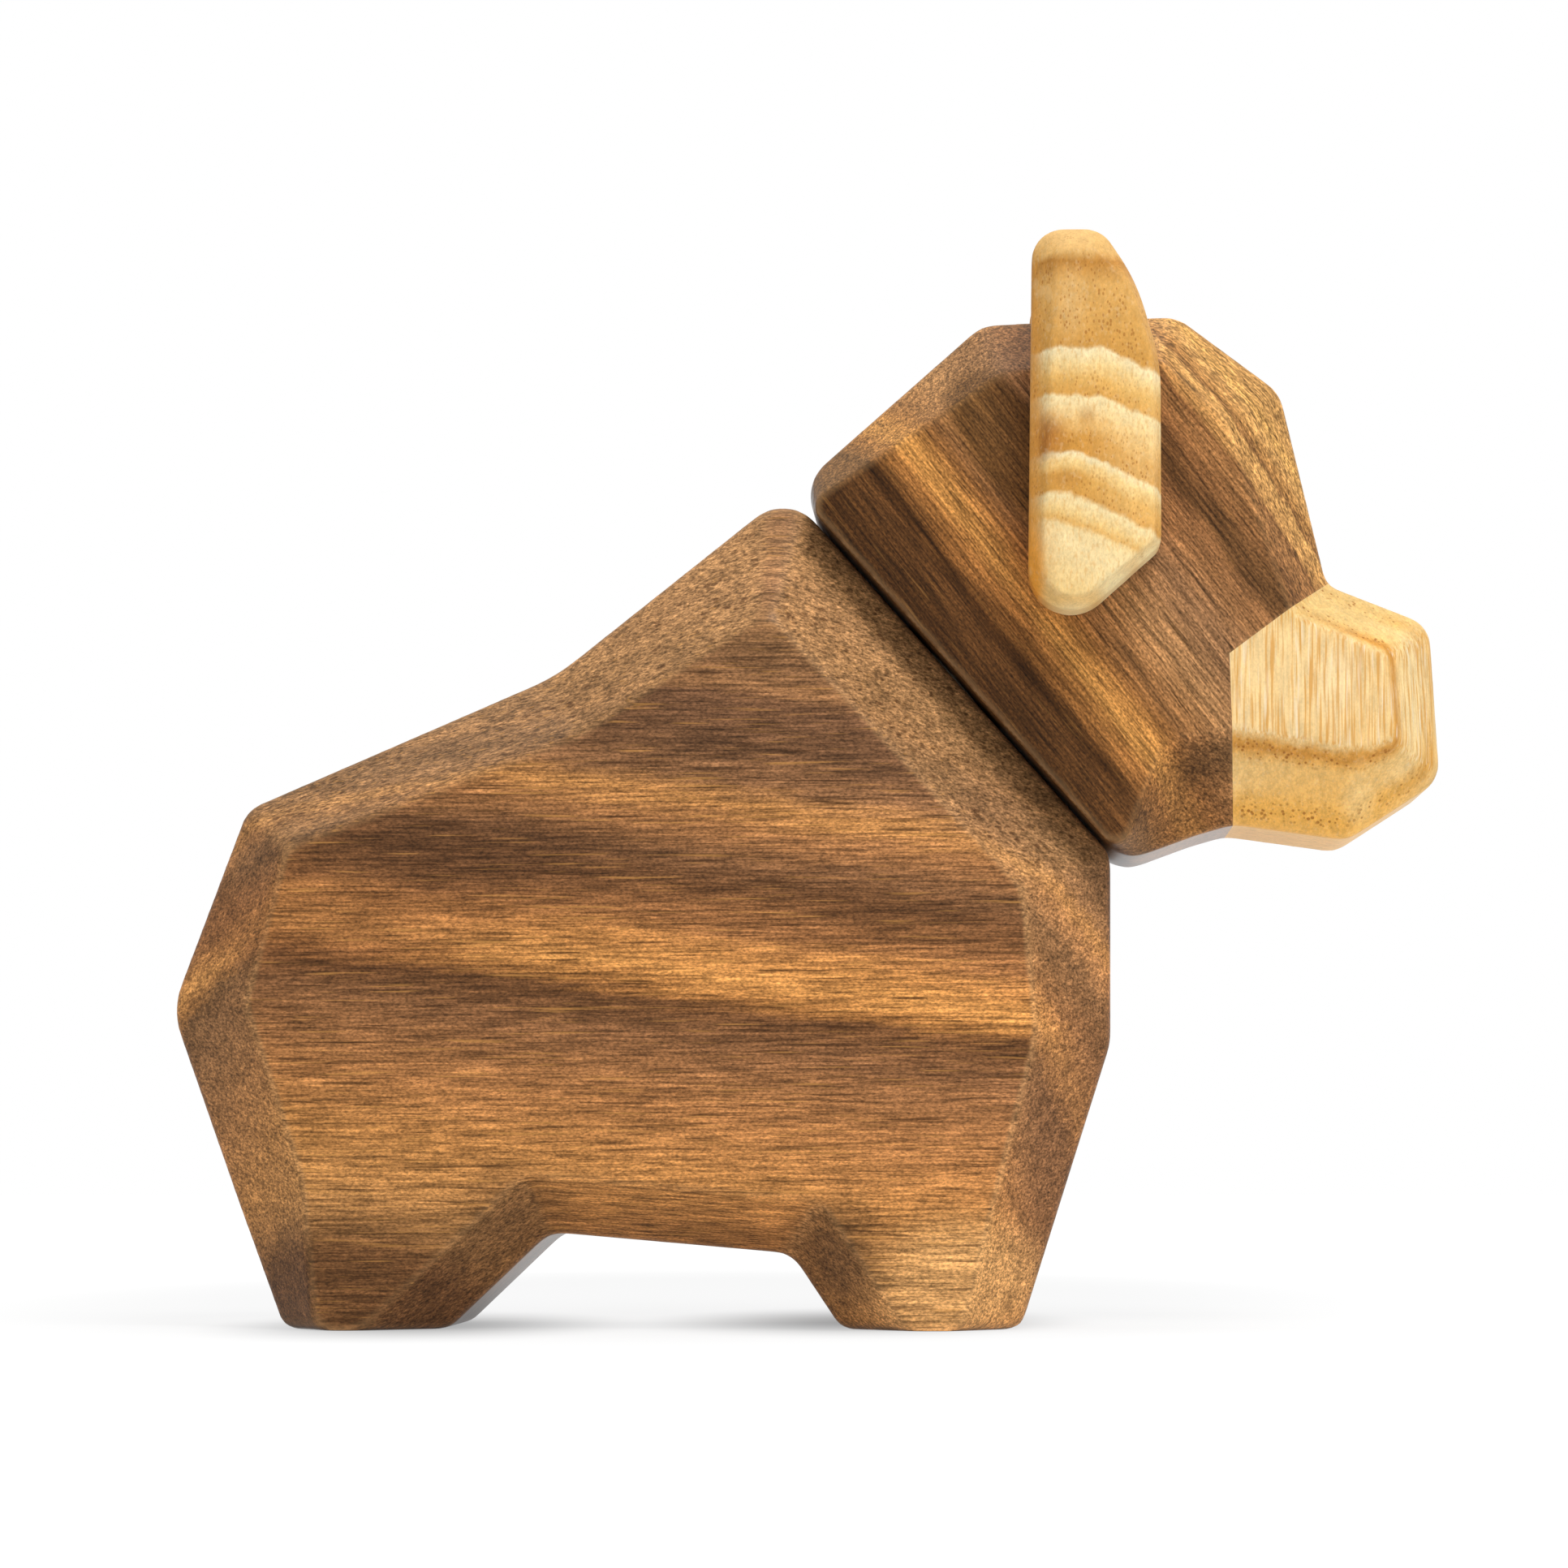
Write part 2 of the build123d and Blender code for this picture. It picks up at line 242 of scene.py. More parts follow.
    # handled edges are rubbed paler, and this lightening is also painted highlight where rounded edges catch
    # the light
    least, most = oiled["wearAndHighlightEdge"]
    wearAndHighlight = addNode(tree, "MapRange", {"Value": bulge, "From Min": least, "From Max": most,
                                      "To Max": wood["wearAndHighlightShare"]})
    colour = addNode(tree, "Mix", {0: wearAndHighlight, 6: colour, 7: toLinear(wood["wearAndHighlightTone"])}, 2, data_type="RGBA")

    # raised grain is polished, sunk fibres and vessels stay dull
    least, most = oiled["grainHeight"]
    polished, dull = wood["roughness"]
    roughness = addNode(tree, "MapRange", {"Value": grainHeight, "From Min": least, "From Max": most,
                                           "To Min": dull, "To Max": polished})
    relief = addNode(tree, "Bump", {"Height": grainHeight, "Strength": wood["relief"],
                                    "Distance": oiled["grainDepth"] * mm})

    # the film of oil shines at a low angle
    least, most = oiled["filmAngle"]
    glancing = addNode(tree, "LayerWeight", {"Blend": 0.5}, "Facing")
    film = addNode(tree, "MapRange", {"Value": glancing, "From Min": least, "From Max": most,
                                      "To Min": oiled["filmLeast"], "To Max": wood["film"]})
    surface = addNode(tree, "BsdfPrincipled", {"Base Color": colour, "Roughness": roughness, "Normal": relief,
                                               "IOR": oiled["ior"], "Specular IOR Level": oiled["specular"],
                                               "Coat Weight": film, "Coat Roughness": oiled["coatRoughness"]})
    addNode(tree, "OutputMaterial", {"Surface": surface})
    return material


# how every block is filled, sanded and cut, lengths in millimetres
workshop = {
    "mergeReach": 0.001,
    "discSides": 96,
    "plugMargin": 0.5,  # a pocket's plug reaches this far into the wood
    "sandingForce": 0.5,
    "pocketClearance": 0.08,
    "cutterReach": 1.0,  # past the pole face
    "crispAngle": 40,  # degrees, edges sharper than this stay crisp
}
stand = {  # how far each magnet's pole face stands out of the wood
    "torso_neck_magnet": 0.15, "head_neck_magnet": 0.15,
    "right_cheek_magnet": 0.1, "left_cheek_magnet": 0.1,
    "right_horn_magnet": 0.1, "left_horn_magnet": 0.1,
}
neckAxis = Vector(joints["head_swivel"]["axis"]).normalized()
toRight = Vector((0, -1, 0))
toLeft = Vector((0, 1, 0))


# a magnet's seat, read from its own mesh: middle of its pole face, radius and thickness
def magnetSeat(node, outwards):
    spots = [vertex.co for vertex in frame["nodes"][node].data.vertices]
    low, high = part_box(node)
    middle = (low + high) / 2
    reach = [(spot - middle).dot(outwards) for spot in spots]
    thickness = max(reach) - min(reach)
    radius = max(((spot - middle) - outwards * (spot - middle).dot(outwards)).length for spot in spots)
    return middle + outwards * thickness / 2, radius, thickness


def addDisc(mesh, pole, outwards, radius, low, high):
    turn = outwards.to_track_quat("Z", "Y").to_matrix().to_4x4()
    middle = pole + outwards * (low + high) / 2
    bmesh.ops.create_cone(mesh, cap_ends=True, segments=workshop["discSides"], radius1=radius, radius2=radius,
                          depth=high - low, matrix=Matrix.Translation(middle) @ turn)


def newPiece(name, mesh):
    data = bpy.data.meshes.new(name)
    mesh.to_mesh(data)
    mesh.free()
    piece = bpy.data.objects.new(name, data)
    bpy.context.scene.collection.objects.link(piece)
    return piece


def applyModifiers(piece):
    solved = piece.evaluated_get(bpy.context.evaluated_depsgraph_get())
    data = bpy.data.meshes.new_from_object(solved)
    piece.modifiers.clear()
    piece.data = data


# the CAD block with its pockets filled, cut up fine and sanded until its edges are round
def sandedBlock(name, nodes, seats, sanding):
    mesh = bmesh.new()
    for node in nodes:
        before = set(mesh.verts)
        mesh.from_mesh(frame["nodes"][node].data)
        added = [vertex for vertex in mesh.verts if vertex not in before]
        bmesh.ops.remove_doubles(mesh, verts=added, dist=workshop["mergeReach"] * mm)
    margin = workshop["plugMargin"] * mm
    for node, outwards in seats:
        pole, radius, thickness = magnetSeat(node, outwards)
        addDisc(mesh, pole, outwards, radius + margin, -thickness - margin, -stand[node] * mm)
    block = newPiece(name, mesh)
    remesh = block.modifiers.new("fine", "REMESH")
    remesh.mode = "VOXEL"
    remesh.voxel_size = sanding["grit"] * mm
    applyModifiers(block)
    mesh = bmesh.new()
    mesh.from_mesh(block.data)
    for sweep in range(sanding["sweeps"]):
        bmesh.ops.smooth_vert(mesh, verts=mesh.verts, factor=workshop["sandingForce"],
                              use_axis_x=True, use_axis_y=True, use_axis_z=True)
    mesh.to_mesh(block.data)
    mesh.free()
    return block


def cutBlock(block, cutter, operation):
    cut = block.modifiers.new("cut", "BOOLEAN")
    cut.operation = operation
    cut.solver = "EXACT"
    cut.object = cutter
    applyModifiers(block)


def openPockets(block, seats):
    mesh = bmesh.new()
    clearance = workshop["pocketClearance"] * mm
    proud = workshop["cutterReach"] * mm
    for node, outwards in seats:
        pole, radius, thickness = magnetSeat(node, outwards)
        addDisc(mesh, pole, outwards, radius + clearance, -thickness - clearance, proud)
    cutter = newPiece("cutter", mesh)
    cutBlock(block, cutter, "DIFFERENCE")
    bpy.data.objects.remove(cutter)


def finishPiece(piece, material, body, node):
    piece.data.materials.clear()
    piece.data.materials.append(material)
    piece.data.shade_smooth()
    piece.data.set_sharp_from_angle(angle=math.radians(workshop["crispAngle"]))
    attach(piece, body)
    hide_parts(node)


# torso with its legs, one walnut block whose bands run along it and drop towards the chest;
# in each wood, sizes and places are in millimetres
torso = {
    "sanding": {"grit": 0.6, "sweeps": 3},
    "seats": [("torso_neck_magnet", neckAxis)],
}
torsoWalnut = {
    "grainTurn": (0, 0, 0),
    "grain": (1, 0, 0),
    "layers": (0.14, 0, 1),
    "cup": {"along": (0, 1, 0), "middle": 0, "round": 6, "depth": -1.4, "face": 21},
    "sway": [((70, 24, 16), 3.0), ((14, 1.1, 1.1), 3.2), ((5, 0.5, 0.5), 2.2)],
    "figure": [
        (4, "#c58f56"), (9, "#c68c50"), (14, "#c0854a"), (20, "#b27947"), (24, "#9d6b41"),
        (28, "#8b5f3c"), (31.4, "#6a4629"), (33, "#ab733e"), (35, "#d39350"), (37, "#c8894b"),
        (40, "#97653c"), (44, "#724c2e"), (47, "#7d5637"), (50.5, "#a87346"), (53, "#b98149"),
        (55.5, "#8f6441"), (59, "#6f4d33"), (63.5, "#735036"), (65, "#9a6d46"), (67, "#825c3c"),
        (71, "#8a6340"), (75, "#a0744c"), (80, "#956b47"), (86, "#a87a50"), (95, "#8f6744"),
    ],
    "patches": [
        {"middle": (-50, 0, 42), "reach": (34, 120, 7), "soft": 0.7, "share": 0.65, "tone": "#96623a"},
        # painted shade under the belly
        {"middle": (-14, 0, 8), "reach": (18, 120, 6), "soft": 0.7, "share": 0.45, "tone": "#7f5632"},
        {"middle": (27.4, 0, 14), "reach": (8, 120, 26), "soft": 0.6, "share": 0.7, "tone": "#805839"},
        {"middle": (-46, 0, 0), "reach": (22, 120, 16), "soft": 0.5, "share": 0.95, "tone": "#6f4a2c"},
        {"middle": (-34, 0, 49), "reach": (24, 120, 6), "soft": 0.7, "share": 0.7, "tone": "#5f3f27"},
        {"middle": (16, 0, 5), "reach": (12, 120, 9), "soft": 0.6, "share": 0.7, "tone": "#d4a267"},
        # painted shade on the rear leg's inner side, under the belly
        {"middle": (-30.5, 0, 11.5), "reach": (9.5, 120, 8.5), "soft": 0.9, "share": 0.66, "tone": "#5a3f28"},
        {"middle": (19.5, 0, 53.5), "reach": (7, 120, 7), "soft": 0.8, "share": 0.4, "tone": "#805b3d"},
        # painted shade on the front leg's inner side, under the belly
        {"middle": (3.5, 0, 7.5), "reach": (8, 120, 10), "soft": 0.9, "share": 0.8, "tone": "#553b25"},
    ],
    "drift": {"along": (1, 0, 0), "from": -50, "to": 24, "dark": 0.85, "pale": 1.12},
    "streaks": [((26, 1.5, 1.5), 0.22), ((14, 0.6, 0.6), 0.22), ((6, 0.28, 0.28), 0.6),
                ((2.6, 1.3, 1.3), 0.12), ((0.36, 0.18, 0.18), 0.5)],
    "fibres": [
        {"offset": (0, 0, 0), "size": (7, 0.26, 0.26), "from": 0.6, "to": 0.7, "share": 0.65,
         "tone": "#402612", "sunk": True},
        {"offset": (210, 130, 90), "size": (8, 0.28, 0.28), "from": 0.62, "to": 0.72, "share": 0.4,
         "tone": "#d89b52", "sunk": False},
    ],
    "vesselCut": (0.15, 0.3, 0.48, 0.6),
    "vessels": [
        {"spacing": (1.6, 0.75, 0.75), "size": 0.26, "crowdScale": 0.3, "crowding": 0.9,
         "share": 0.6, "tone": "#4e2f19"},
    ],
    "endTone": "#b78b5b",
    "endCut": (0.1, 0.3, 0.5, 0.9),
    "endShare": 0.42,
    "wearAndHighlightTone": "#c99d6c",
    "wearAndHighlightShare": 0.55,
    "roughness": (0.48, 0.62),
    "relief": 0.5,
    "film": 0.9,
}
torsoPiece = sandedBlock("torso_block", ["torso"], torso["seats"], torso["sanding"])
openPockets(torsoPiece, torso["seats"])
finishPiece(torsoPiece, woodMaterial("oiledWalnutTorso", torsoWalnut), "torso", "torso")
print("torso sanded:", len(torsoPiece.data.polygons), "faces")

# head and muzzle: glued up and sanded as one block, so the seam is crisp and flush,
# then parted at the seam
head = {
    "sanding": {"grit": 0.45, "sweeps": 4},
    "seats": [
        ("head_neck_magnet", -neckAxis),
        ("right_cheek_magnet", toRight),
        ("left_cheek_magnet", toLeft),
    ],
    "wedgeReach": 80,  # mm, past the muzzle's end
    "wedgeHalf": 40,  # mm, past its sides
    "seamTurn": -0.3,  # the seam's faces look back at least this much
    "seamTilt": 0.01,  # and hardly to the side
}
headWalnut = {
    "grainTurn": (0, 52, 0),
    "grain": (0.616, 0, -0.788),
    "layers": (0.788, 0, 0.616),
    "cup": {"along": (0, 1, 0), "middle": 0, "round": 6, "depth": -0.25, "face": 19},
    "sway": [((50, 18, 12), 1.6), ((12, 1.0, 1.0), 1.6), ((5, 0.5, 0.5), 1.0)],
    "figure": [
        (46, "#5f4025"), (52, "#432810"), (56, "#4d3016"), (58.5, "#623f20"), (60.2, "#472b12"),
        (61.4, "#82552b"), (63, "#a46e39"), (64.4, "#c28947"), (66, "#ba8143"), (67.2, "#a06c3a"),
        (68.4, "#93653b"), (70.2, "#a37346"), (72.5, "#ac7e51"), (75.5, "#966d48"), (78, "#926a47"),
        (81, "#976a42"), (83, "#8b603b"), (84.2, "#5e4024"), (85.6, "#6f4c2c"), (87, "#825935"),
        (89.4, "#a07144"), (89.9, "#7a5331"), (90.4, "#b98850"), (92.6, "#cf9c5c"), (93.1, "#8f653b"),
        (93.8, "#b6834a"), (95.4, "#cc9a5c"), (96.6, "#d3a05b"), (98, "#c59457"),
    ],
    "patches": [
        # these three patches: painted shade on the downward-facing jaw facet, darkest in its two small spots
        {"middle": (39, 0, 53.5), "reach": (9, 60, 8), "soft": 0.8, "share": 0.65, "tone": "#7c5431"},
        {"middle": (40, 0, 57.8), "reach": (3.4, 60, 3.8), "soft": 0.9, "share": 0.75, "tone": "#4a331d"},
        {"middle": (43.6, 0, 59), "reach": (3.6, 60, 4.2), "soft": 0.9, "share": 0.85, "tone": "#4a331d"},
        {"middle": (22.1, -21, 90.5), "reach": (15, 12, 5.2), "soft": 0.35, "share": 0.85, "tone": "#64431f"},
        {"middle": (22.1, 21, 90.5), "reach": (15, 12, 5.2), "soft": 0.35, "share": 0.85, "tone": "#64431f"},
    ],
    "drift": {"along": (0.616, 0, -0.788), "from": -62, "to": -25, "dark": 0.94, "pale": 1.04},
    "streaks": [((14, 0.7, 0.7), 0.3), ((6, 0.28, 0.28), 0.6), ((0.4, 0.2, 0.2), 0.6)],
    "fibres": [
        {"offset": (0, 0, 0), "size": (5, 0.28, 0.28), "from": 0.6, "to": 0.72, "share": 0.6,
         "tone": "#341f0e", "sunk": True},
        {"offset": (210, 130, 90), "size": (6, 0.3, 0.3), "from": 0.62, "to": 0.76, "share": 0.2,
         "tone": "#c88f4d", "sunk": False},
    ],
    "vesselCut": (0.15, 0.3, 0.48, 0.6),
    "vessels": [
        {"spacing": (1.4, 0.7, 0.7), "size": 0.24, "crowdScale": 0.3, "crowding": 0.9,
         "share": 0.5, "tone": "#5a391f"},
    ],
    "endTone": "#bf8f58",
    "endCut": (0.62, 0.86, 1, 1.1),
    "endShare": 0.3,
    "wearAndHighlightTone": "#c99d6c",
    "wearAndHighlightShare": 0.55,
    "roughness": (0.48, 0.62),
    "relief": 0.5,
    "film": 0.9,
}
muzzleAsh = {
    "grainTurn": (0, 90, 0),
    "grain": (0, 0, 1),
    "layers": (0.02, 0, 0),  # the layers lie flat on the face, so its bevels show them as rings
    "cup": {"along": (0, 1, 0), "middle": 0, "round": 4, "depth": -1.0, "face": 19},
    "sway": [((30, 5, 4), 0.9), ((14, 0.7, 0.7), 0.7)],
    "figure": [
        (0, "#f0cd92", 0), (0.9, "#f1d096", 0), (1.3, "#eec684", 0), (1.7, "#dea351", 0.7),
        (2.1, "#c88a3c", 1), (2.6, "#e6b061", 1), (3.2, "#f2ca84", 0), (5, "#f4d292", 0),
        (5.9, "#ecbd71", 0.6), (6.6, "#dca655", 1), (7.4, "#edc078", 0.4), (9, "#f2cf8e", 0),
        (20, "#eec582", 0),
    ],
    "patches": [
        {"middle": (53, 0, 51.5), "reach": (9, 60, 18), "soft": 0.6, "share": 0.65, "tone": "#ffc05a"},
        {"middle": (57.3, 0, 54.5), "reach": (3.4, 60, 2.6), "soft": 0.7, "share": 0.5, "tone": "#f6d696"},
        {"middle": (55, 0, 77), "reach": (7, 60, 14), "soft": 0.5, "share": 0.8, "tone": "#e0bd7b"},
        {"middle": (63, 0, 66), "reach": (9, 60, 3), "soft": 0.6, "share": 0.7, "tone": "#f3d8a2"},
        {"middle": (55, 0, 66.5), "reach": (7, 60, 5), "soft": 0.8, "share": 0.4, "tone": "#f7e0b4"},
    ],
    "drift": {"along": (1, 0, 0), "from": 36, "to": 66, "dark": 1.0, "pale": 1.0},
    "streaks": [((2.5, 1.0, 1.0), 0.12), ((6, 0.3, 0.3), 0.12), ((0.26, 0.18, 0.18), 0.08)],
    "fibres": [
        {"offset": (0, 0, 0), "size": (8, 0.26, 0.26), "from": 0.5, "to": 0.62, "share": 0.75,
         "tone": "#d89a45", "sunk": True},
        {"offset": (210, 130, 90), "size": (6, 0.3, 0.3), "from": 0.57, "to": 0.7, "share": 0.5,
         "tone": "#fbebcc", "sunk": False},
    ],
    "vesselCut": (0.02, 0.2, 0.98, 1),
    "vessels": [
        {"spacing": (0.6, 0.5, 0.5), "size": 0.36, "crowdScale": 0.4, "crowding": 0.5,
         "share": 0.8, "tone": "#9c5f27"},
    ],
    "endTone": "#efb55c",
    "endCut": (0.2, 0.6, 1, 1.1),
    "endShare": 0.1,
    "wearAndHighlightTone": "#f3d8a6",
    "wearAndHighlightShare": 0.1,
    "roughness": (0.48, 0.6),
    "relief": 0.3,
    "film": 0.45,
}


# the two seam planes are the muzzle's faces towards the head; they meet in the wedge's edge
def seamWedge():
    planes = {}
    for face in frame["nodes"]["muzzle"].data.polygons:
        if face.normal.x < head["seamTurn"] and abs(face.normal.y) < head["seamTilt"]:
            key = (round(face.normal.x, 2), round(face.normal.z, 2))
            area, normal, spot = planes.get(key, (0, face.normal.copy(), face.center.copy()))
            planes[key] = (area + face.area, normal, spot)
    largest = sorted(planes.values(), key=lambda plane: -plane[0])[:2]
    (_, n1, p1), (_, n2, p2) = largest
    d1, d2 = n1.dot(p1), n2.dot(p2)
    under = n1.x * n2.z - n1.z * n2.x
    apex = Vector(((d1 * n2.z - d2 * n1.z) / under, 0, (n1.x * d2 - n2.x * d1) / under))
    print("seam planes", [tuple(round(v, 3) for v in n) for n in (n1, n2)], "meet at", tuple(apex))
    arms = []
    for normal, spot in ((n1, p1), (n2, p2)):
        arm = Vector((-normal.z, 0, normal.x))
        towards = Vector((spot.x, 0, spot.z)) - apex
        arms.append(arm if arm.dot(towards) > 0 else -arm)
    mesh = bmesh.new()
    half = Vector((0, head["wedgeHalf"] * mm, 0))
    up, down = (arm * head["wedgeReach"] * mm for arm in arms)
    corners = [apex, apex + up, apex + up + down, apex + down]
    base = mesh.faces.new([mesh.verts.new(corner - half) for corner in corners])
    grown = bmesh.ops.extrude_face_region(mesh, geom=[base])
    moved = [item for item in grown["geom"] if isinstance(item, bmesh.types.BMVert)]
    bmesh.ops.translate(mesh, verts=moved, vec=half * 2)
    bmesh.ops.recalc_face_normals(mesh, faces=mesh.faces)
    return mesh


headPiece = sandedBlock("head_block", ["head", "muzzle"], head["seats"], head["sanding"])
muzzlePiece = newPiece("muzzle_block", bmesh.new())
muzzlePiece.data = headPiece.data.copy()
wedge = newPiece("wedge", seamWedge())
cutBlock(muzzlePiece, wedge, "INTERSECT")
cutBlock(headPiece, wedge, "DIFFERENCE")
openPockets(headPiece, head["seats"])
bpy.data.objects.remove(wedge)
finishPiece(headPiece, woodMaterial("oiledWalnutHead", headWalnut), "head", "head")
finishPiece(muzzlePiece, woodMaterial("oiledAshMuzzle", muzzleAsh), "head", "muzzle")
print("head sanded:", len(headPiece.data.polygons), "faces, muzzle", len(muzzlePiece.data.polygons))

# horns: flat ash pieces, their layers in arches across the face
horn = {
    "sanding": {"grit": 0.3, "sweeps": 4},
    "pieces": [("right_horn", "right_horn_magnet", toLeft), ("left_horn", "left_horn_magnet", toRight)],
}
hornAsh = {
    "grainTurn": (0, 90, 0),
    "grain": (0, 0, 1),
    "layers": (0.2, 0, 0.955),
    "cup": {"along": (1, 0, -0.224), "middle": 8.8, "round": 1.0, "depth": 0.25, "face": 8.8},
    "sway": [((5, 4, 4), 1.8), ((1.5, 1, 1), 0.7)],
    "figure": [
        (72, "#ecbc6d", 0.3), (77, "#f2ce89", 0.1), (82, "#f7dda5", 0), (83.6, "#f5d99f", 0),
        (84.1, "#e3b163", 0.7), (84.8, "#f0cb85", 0.3), (86.4, "#f6dfa9", 0), (86.9, "#d59b4a", 1),
        (88.5, "#e0a955", 0.8),
        (90, "#f3d08c", 0.3), (90.7, "#f9e6b6", 0), (91.1, "#cf9342", 1), (92.6, "#d69a48", 1),
        (94.2, "#efc17a", 0.6), (95.8, "#f6d99f", 0.2), (96.6, "#f6dfaa", 0), (97, "#d9a151", 1),
        (98.5, "#e9b869", 0.7), (100.2, "#f2d394", 0.3), (101.4, "#f7e2b1", 0), (101.8, "#cf984b", 1),
        (104, "#d6a155", 1), (108, "#dfac62", 1), (110.6, "#bb823b", 1), (111.6, "#e0b26d", 0.6),
        (116, "#e9bf7d", 0.4),
    ],
    "patches": [
        {"middle": (34.5, 0, 87), "reach": (12, 60, 8), "soft": 1, "share": 0.55, "tone": "#f3d292"},
        {"middle": (24.8, 0, 91), "reach": (4.2, 60, 3.4), "soft": 0.65, "share": 0.85, "tone": "#a0612a"},
        {"middle": (29.2, 0, 93), "reach": (1.8, 60, 1.6), "soft": 0.8, "share": 0.6, "tone": "#b97f3d"},
        {"middle": (26.5, 0, 86.6), "reach": (1.6, 60, 4.5), "soft": 0.7, "share": 0.6, "tone": "#bd823d"},
        {"middle": (27.5, 0, 104.5), "reach": (6, 60, 2.8), "soft": 0.7, "share": 0.35, "tone": "#e6c38c"},
        {"middle": (23.2, 0, 97), "reach": (24, 60, 2.2), "soft": 0.6, "share": 0.6, "tone": "#c28338"},
        {"middle": (24, 0, 79), "reach": (9, 60, 3.4), "soft": 0.8, "share": 0.6, "tone": "#dba458"},
        {"middle": (28, 0, 71.5), "reach": (3.4, 60, 8), "soft": 0.5, "share": 0.95, "tone": "#fff0bc"},
        {"middle": (33, 0, 75.5), "reach": (2.6, 60, 4), "soft": 0.6, "share": 0.95, "tone": "#fff0bc"},
        {"middle": (36, 0, 78.6), "reach": (2, 60, 2.6), "soft": 0.6, "share": 0.95, "tone": "#fff0bc"},
        {"middle": (23, 0, 77), "reach": (9, 60, 2.6), "soft": 0.5, "share": 1, "tone": "#fba93c"},
        {"middle": (23, 0, 92), "reach": (30, 60, 2.2), "soft": 0.5, "share": 0.7, "tone": "#e3a04a"},
    ],
    "drift": {"along": (1, 0, 0), "from": 25, "to": 36, "dark": 0.93, "pale": 1.05},
    "streaks": [((1.6, 0.9, 0.9), 0.1), ((0.5, 0.3, 0.3), 0.08), ((0.26, 0.18, 0.18), 0.08)],
    "fibres": [
        {"offset": (0, 0, 0), "size": (0.8, 0.3, 0.3), "from": 0.5, "to": 0.7, "share": 0.4,
         "tone": "#d89b48", "sunk": True},
        {"offset": (210, 130, 90), "size": (0.6, 0.4, 0.4), "from": 0.57, "to": 0.72, "share": 0.14,
         "tone": "#f6e3bb", "sunk": False},
    ],
    "vesselCut": (-2, -1, 2, 3),  # on every face
    "vessels": [
        {"spacing": (0.6, 0.36, 0.36), "size": 0.3, "crowdScale": 0.35, "crowding": 0.6,
         "share": 0.6, "tone": "#a1652a"},
    ],
    "endTone": "#d6a25c",
    "endCut": (0.4, 0.9, 1, 1.1),
    "endShare": 0.15,
    "wearAndHighlightTone": "#f3d8a6",
    "wearAndHighlightShare": 0.15,
    "roughness": (0.48, 0.6),
    "relief": 0.35,
    "film": 0.45,
}
hornMaterial = woodMaterial("oiledAshHorn", hornAsh)
for node, magnet, inwards in horn["pieces"]:
    seats = [(magnet, inwards)]
    hornPiece = sandedBlock(node + "_block", [node], seats, horn["sanding"])
    openPockets(hornPiece, seats)
    finishPiece(hornPiece, hornMaterial, node, node)
    print(node, "sanded:", len(hornPiece.data.polygons), "faces")

# disc magnets: nickel plated, a bright warm grey with faint scratches from rubbing pole on pole
nickel = {
    "tones": [(0.3, "#a8a49b"), (0.65, "#c4c0b7")],  # dull in the scratches, bright between them
    "roughness": (0.16, 0.34),
    "scratch": (6, 0.12, 0.12),  # mm along and across
    "scratchTurn": (0.3, 0.5, 0.7),
    "scratchDepth": 0.01,  # mm
    "relief": 0.15,
}
nickelMaterial, tree = startMaterial("nickelPlate")
rubbed = addNode(tree, "Mapping", {"Vector": inMillimetres(tree), "Rotation": nickel["scratchTurn"],
                                   "Scale": nickel["scratch"]}, vector_type="TEXTURE")
scratch = addNode(tree, "TexNoise", {"Vector": rubbed, "Scale": 1.0, "Detail": 3.0})
plate = addNode(tree, "ValToRGB", {"Fac": scratch},
                stops=[(at, toLinear(tone)) for at, tone in nickel["tones"]])
bright, dull = nickel["roughness"]
gloss = addNode(tree, "MapRange", {"Value": scratch, "To Min": dull, "To Max": bright})
relief = addNode(tree, "Bump", {"Height": scratch, "Strength": nickel["relief"],
                                "Distance": nickel["scratchDepth"] * mm})
surface = addNode(tree, "BsdfPrincipled", {"Base Color": plate, "Metallic": 1.0, "Roughness": gloss,
                                           "Normal": relief})
addNode(tree, "OutputMaterial", {"Surface": surface})
for node in stand:
    slots = frame["nodes"][node].data.materials
    slots.clear()
    slots.append(nickelMaterial)
print("magnets plated:", len(stand))

# floor and light: a pale sweep that reads white, keeping a faint share of the object's real shadow, with
# painted shadow where its glow is dimmed about the feet
studio = {
    "floorSize": 6.0,
    "floorDrop": 0.02,  # mm under the soles
    "floorTone": 0.86,
    "floorSeen": 0.1,
    # painted shadow: the sweep's glow is dimmed in soft patches about the feet
    "shade": [  # where the sweep glows less: about the rear feet, about the front feet, and behind them all
        {"middle": (-41, 0, 0), "reach": (25, 70, 10), "soft": 1.0, "depth": 0.53},
        {"middle": (5, 20, 0), "reach": (27, 73, 10), "soft": 1.0, "depth": 0.6},
        {"middle": (-20, 130, 0), "reach": (138, 340, 10), "soft": 0.65, "depth": 0.16},
    ],
    "ambient": 0.42,
    "lamps": [
        {"name": "keyLight", "place": (0.28, -0.62, 0.85), "size": 0.45, "power": 6.8},
        {"name": "topLight", "place": (-0.1, 0.15, 0.95), "size": 0.8, "power": 3.2},
    ],
    "lampTarget": (0, 0, 0.055),
}


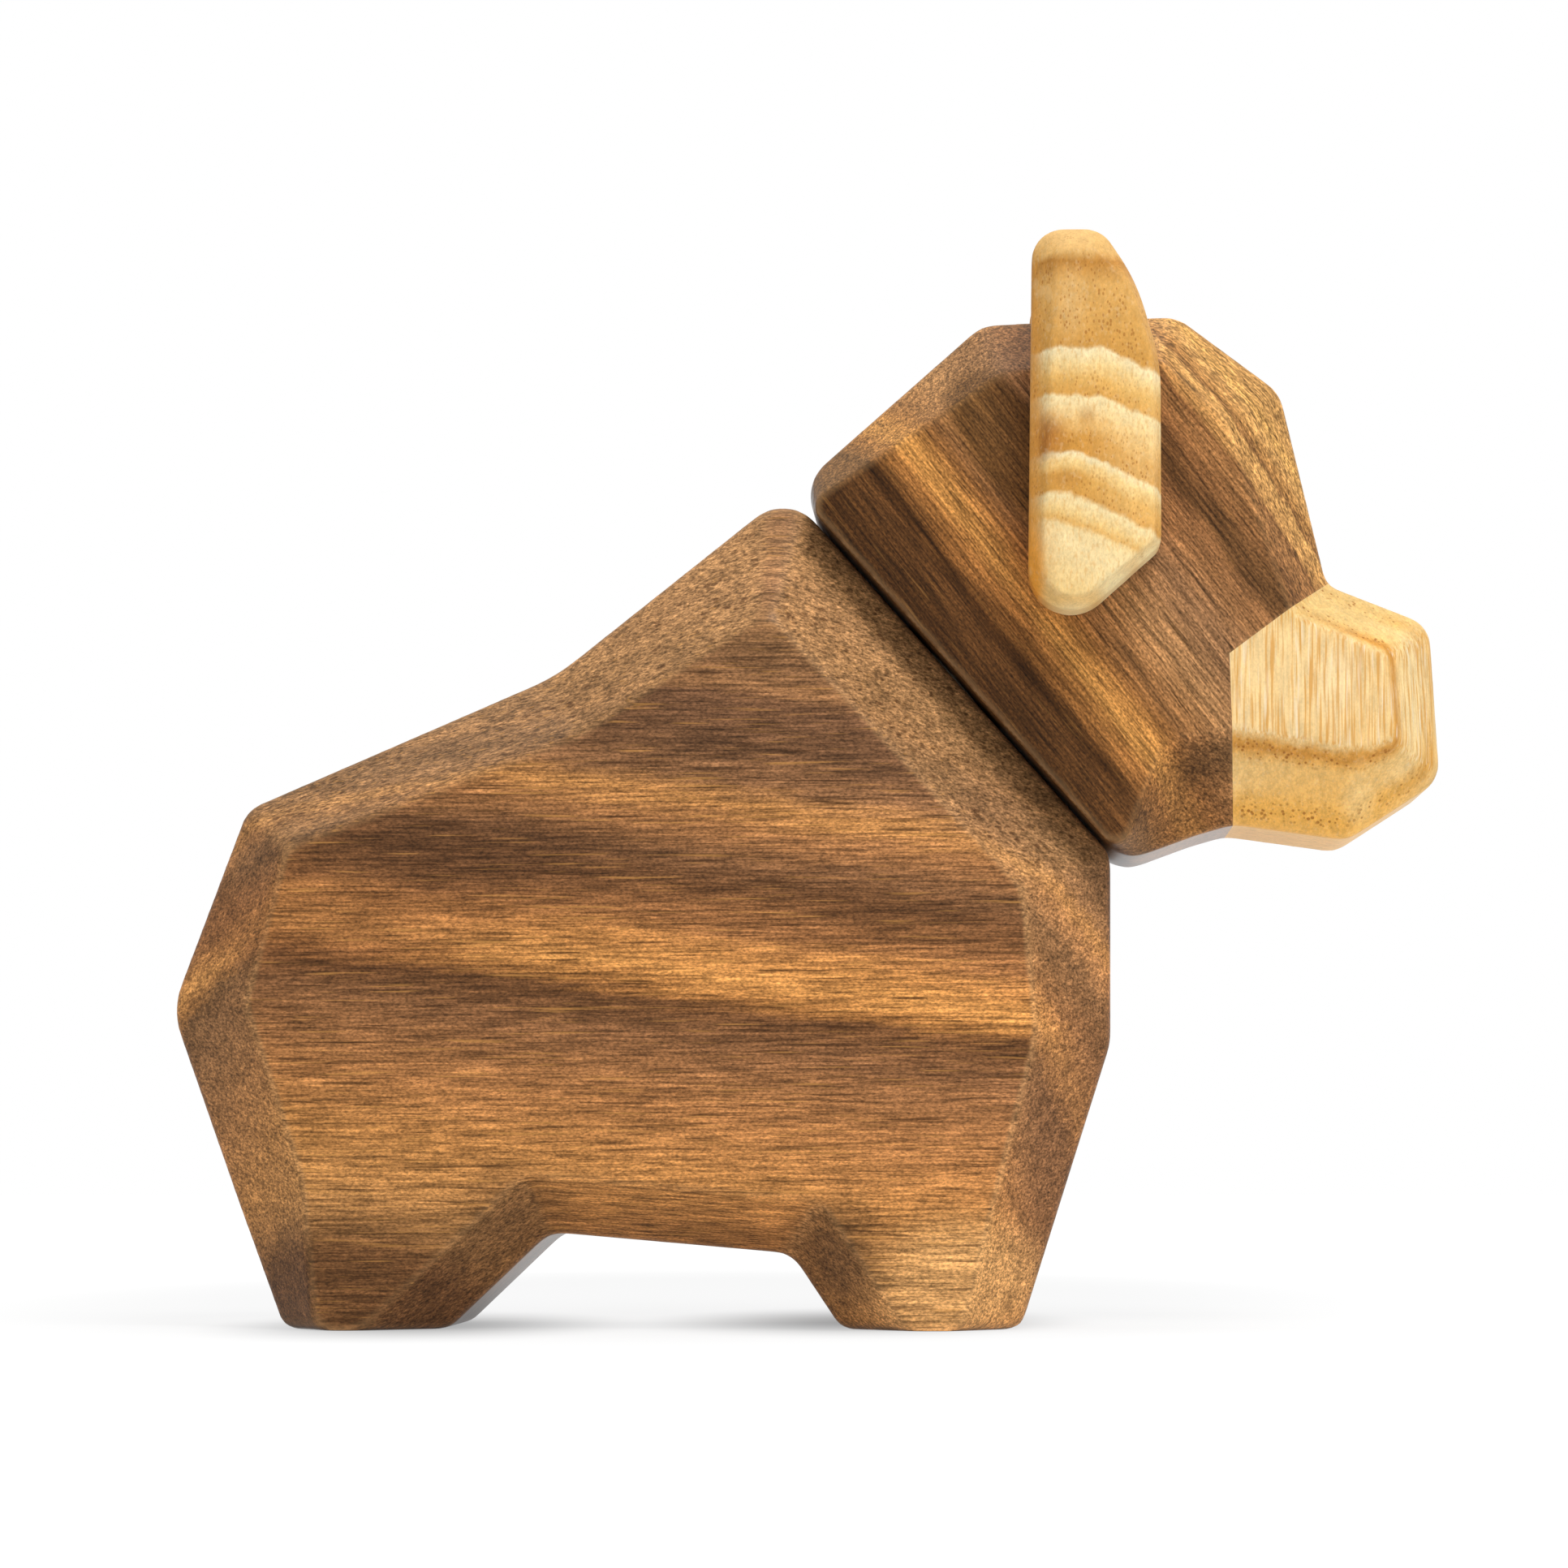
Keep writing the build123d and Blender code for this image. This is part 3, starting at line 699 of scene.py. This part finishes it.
# 1 where the eye sees the background, straight or mirrored, and 0 for the light that it throws
def seenByEye(tree):
    seen = addNode(tree, "LightPath", out="Is Camera Ray")
    rays = seen.node.outputs
    mirrored = addNode(tree, "Math", {0: rays["Is Glossy Ray"], 1: rays["Is Transmission Ray"]},
                       operation="MAXIMUM")
    return addNode(tree, "Math", {0: seen, 1: mirrored}, operation="MAXIMUM")


mesh = bmesh.new()
bmesh.ops.create_grid(mesh, x_segments=1, y_segments=1, size=studio["floorSize"] / 2)
floor = newPiece("floor", mesh)
floor.location.z = -studio["floorDrop"] * mm
floorMaterial, tree = startMaterial("paleSweep")
seen = seenByEye(tree)
spot = inMillimetres(tree)
glow = seen
# painted shadow: each patch dims the glow that the eye sees
for shade in studio["shade"]:
    paintedShadow = softPatch(tree, spot, (0, 0, 0), shade, 1.0, 1 - shade["depth"])
    glow = addNode(tree, "Math", {0: glow, 1: paintedShadow}, operation="MULTIPLY")
tone = addNode(tree, "MapRange", {"Value": seen, "To Min": studio["floorTone"],
                                  "To Max": studio["floorSeen"]})
surface = addNode(tree, "BsdfPrincipled", {"Base Color": tone, "Roughness": 1.0, "Specular IOR Level": 0.0,
                                           "Emission Color": (1, 1, 1, 1), "Emission Strength": glow})
addNode(tree, "OutputMaterial", {"Surface": surface})
floor.data.materials.append(floorMaterial)

world = bpy.data.worlds.new("studioWorld")
world.use_nodes = True
tree = world.node_tree
tree.nodes.clear()
strength = addNode(tree, "MapRange", {"Value": seenByEye(tree), "To Min": studio["ambient"], "To Max": 1.0})
surface = addNode(tree, "Background", {"Color": (1, 1, 1, 1), "Strength": strength})
addNode(tree, "OutputWorld", {"Surface": surface})
bpy.context.scene.world = world

for lamp in studio["lamps"]:
    lampData = bpy.data.lights.new(lamp["name"], "AREA")
    lampData.shape = "DISK"
    lampData.size = lamp["size"]
    lampData.energy = lamp["power"]
    light = bpy.data.objects.new(lamp["name"], lampData)
    light.location = lamp["place"]
    aim = Vector(studio["lampTarget"]) - light.location
    light.rotation_euler = aim.to_track_quat("-Z", "Y").to_euler()
    bpy.context.scene.collection.objects.link(light)
print("studio lit")
